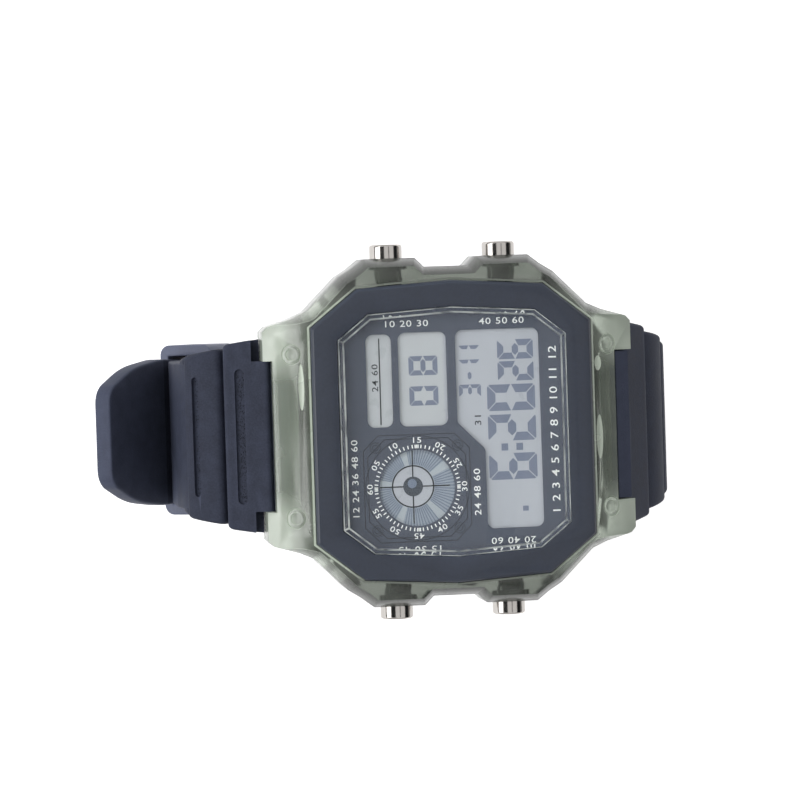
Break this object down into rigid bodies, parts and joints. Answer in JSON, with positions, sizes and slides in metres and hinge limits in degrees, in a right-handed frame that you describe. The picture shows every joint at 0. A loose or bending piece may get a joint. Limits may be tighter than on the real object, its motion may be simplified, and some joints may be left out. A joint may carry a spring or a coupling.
{
  "type": "digital wristwatch",
  "caption": "Digital wristwatch with a clear grey-green resin case, dark octagonal bezel, side pushers and a black stepped strap buckled into a loop.",
  "frame": {"origin": "centre of the case back's outer face", "axes": "+Z leaves the dial, -X is 12 o'clock and +X 6 o'clock, +Y is 3 o'clock"},
  "size_m": [0.0718, 0.0454, 0.0521],
  "materials": {
    "resin": "clear grey-green moulded resin",
    "bezel": "dark slate, satin",
    "crystal": "clear, polished, bevelled edge",
    "seal": "black rubber",
    "dial": "printed slate film",
    "lcd": "grey display glass and film",
    "reflector": "silver film",
    "led": "moulded lamp",
    "board": "green solder mask",
    "potting": "black potting resin",
    "module": "white moulded frame",
    "can": "drawn steel",
    "spring_steel": "spring steel",
    "brass": "rolled brass disc",
    "case_back": "brushed stainless steel",
    "pusher": "plated, polished",
    "strap": "matt black polyurethane, fine grain",
    "buckle": "black moulded"
  },
  "bodies": {
    "case": {"case_shell": "resin", "bezel_plate": "bezel", "crystal": "crystal", "crystal_gasket": "seal", "dial_plate": "dial", "lcd_panel": "lcd", "lcd_reflector": "reflector", "backlight_led": "led", "zebra_connectors": "seal", "circuit_board": "board", "chip": "potting", "quartz_can": "can", "module_frame": "module", "battery_cell": "can", "battery_clip": "spring_steel", "switch_contacts": "spring_steel", "buzzer_disc": "brass", "buzzer_spring": "spring_steel", "back_gasket": "seal", "case_back": "case_back", "back_screws": "can", "spring_bar_12": "spring_steel", "spring_bar_6": "spring_steel", "strap_short": "strap", "strap_long": "strap", "buckle_bar": "spring_steel", "pusher_spring_2": "spring_steel", "pusher_spring_10": "spring_steel", "pusher_spring_8": "spring_steel", "pusher_spring_4": "spring_steel"},
    "keeper": {"keeper_loop": "strap"},
    "buckle": {"buckle_frame": "buckle"},
    "tongue": {"buckle_tongue": "spring_steel"},
    "pusher_2": {"pusher_2": "pusher", "pusher_seal_2": "seal", "pusher_clip_2": "spring_steel"},
    "pusher_10": {"pusher_10": "pusher", "pusher_seal_10": "seal", "pusher_clip_10": "spring_steel"},
    "pusher_8": {"pusher_8": "pusher", "pusher_seal_8": "seal", "pusher_clip_8": "spring_steel"},
    "pusher_4": {"pusher_4": "pusher", "pusher_seal_4": "seal", "pusher_clip_4": "spring_steel"}
  },
  "joints": [
    {"name": "pusher_2_press", "type": "slide", "parent": "case", "child": "pusher_2", "axis": [0, -1, 0], "range_m": [0, 0.0008], "stiffness_N_per_m": 800, "springref_m": -0.0008, "deforming": ["pusher_spring_2"]},
    {"name": "pusher_10_press", "type": "slide", "parent": "case", "child": "pusher_10", "axis": [0, 1, 0], "range_m": [0, 0.0008], "stiffness_N_per_m": 800, "springref_m": -0.0008, "deforming": ["pusher_spring_10"]},
    {"name": "pusher_8_press", "type": "slide", "parent": "case", "child": "pusher_8", "axis": [0, 1, 0], "range_m": [0, 0.0008], "stiffness_N_per_m": 800, "springref_m": -0.0008, "deforming": ["pusher_spring_8"]},
    {"name": "pusher_4_press", "type": "slide", "parent": "case", "child": "pusher_4", "axis": [0, -1, 0], "range_m": [0, 0.0008], "stiffness_N_per_m": 800, "springref_m": -0.0008, "deforming": ["pusher_spring_4"]},
    {"name": "keeper_slide", "type": "slide", "parent": "case", "child": "keeper", "axis": [-0.5878, 0, 0.809], "range_m": [-0.003, 0.001]},
    {"name": "buckle_turn", "type": "hinge", "parent": "case", "child": "buckle", "pos_m": [-0.00955, 0, -0.0345], "axis": [0, 1, 0], "range_deg": [0, 6]},
    {"name": "tongue_turn", "type": "hinge", "parent": "case", "child": "tongue", "pos_m": [-0.00955, 0, -0.0345], "axis": [0, 1, 0], "range_deg": [0, 6]}
  ],
  "couplings": [
    {"joint": "tongue_turn", "follows": "buckle_turn", "ratio": 1}
  ]
}
